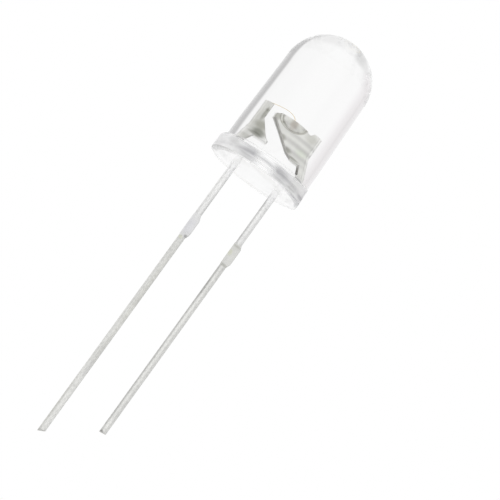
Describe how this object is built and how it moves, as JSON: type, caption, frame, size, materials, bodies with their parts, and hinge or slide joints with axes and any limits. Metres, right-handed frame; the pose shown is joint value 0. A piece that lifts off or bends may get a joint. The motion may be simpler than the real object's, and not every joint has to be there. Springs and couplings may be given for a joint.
{
  "type": "through hole led",
  "caption": "Round water-clear through-hole LED: domed epoxy lens on a flange with a flat side, reflector cup and post cast inside, straight stamped leads of unequal length.",
  "frame": {"origin": "middle of the flange's seating face, on the optical axis, where the pair of leads leaves the lens", "axes": "+Z along the optical axis out through the dome, leads down -Z; +X toward the flange's flat and the cathode lead"},
  "size_m": [0.0053, 0.0054, 0.0254],
  "materials": {
    "clear_epoxy": "cast water-clear epoxy, polished by its mould",
    "lead_frame": "stamped steel sheet, silver plated inside the lens and tinned on the leads",
    "die": "sawn semiconductor, satin",
    "die_adhesive": "silver-filled epoxy, matt",
    "gold_wire": "drawn gold wire, bright"
  },
  "bodies": {
    "root": {"lens": "clear_epoxy", "cathode_frame": "lead_frame", "anode_frame": "lead_frame", "led_die": "die", "die_attach": "die_adhesive", "bond_wire": "gold_wire"}
  },
  "joints": []
}
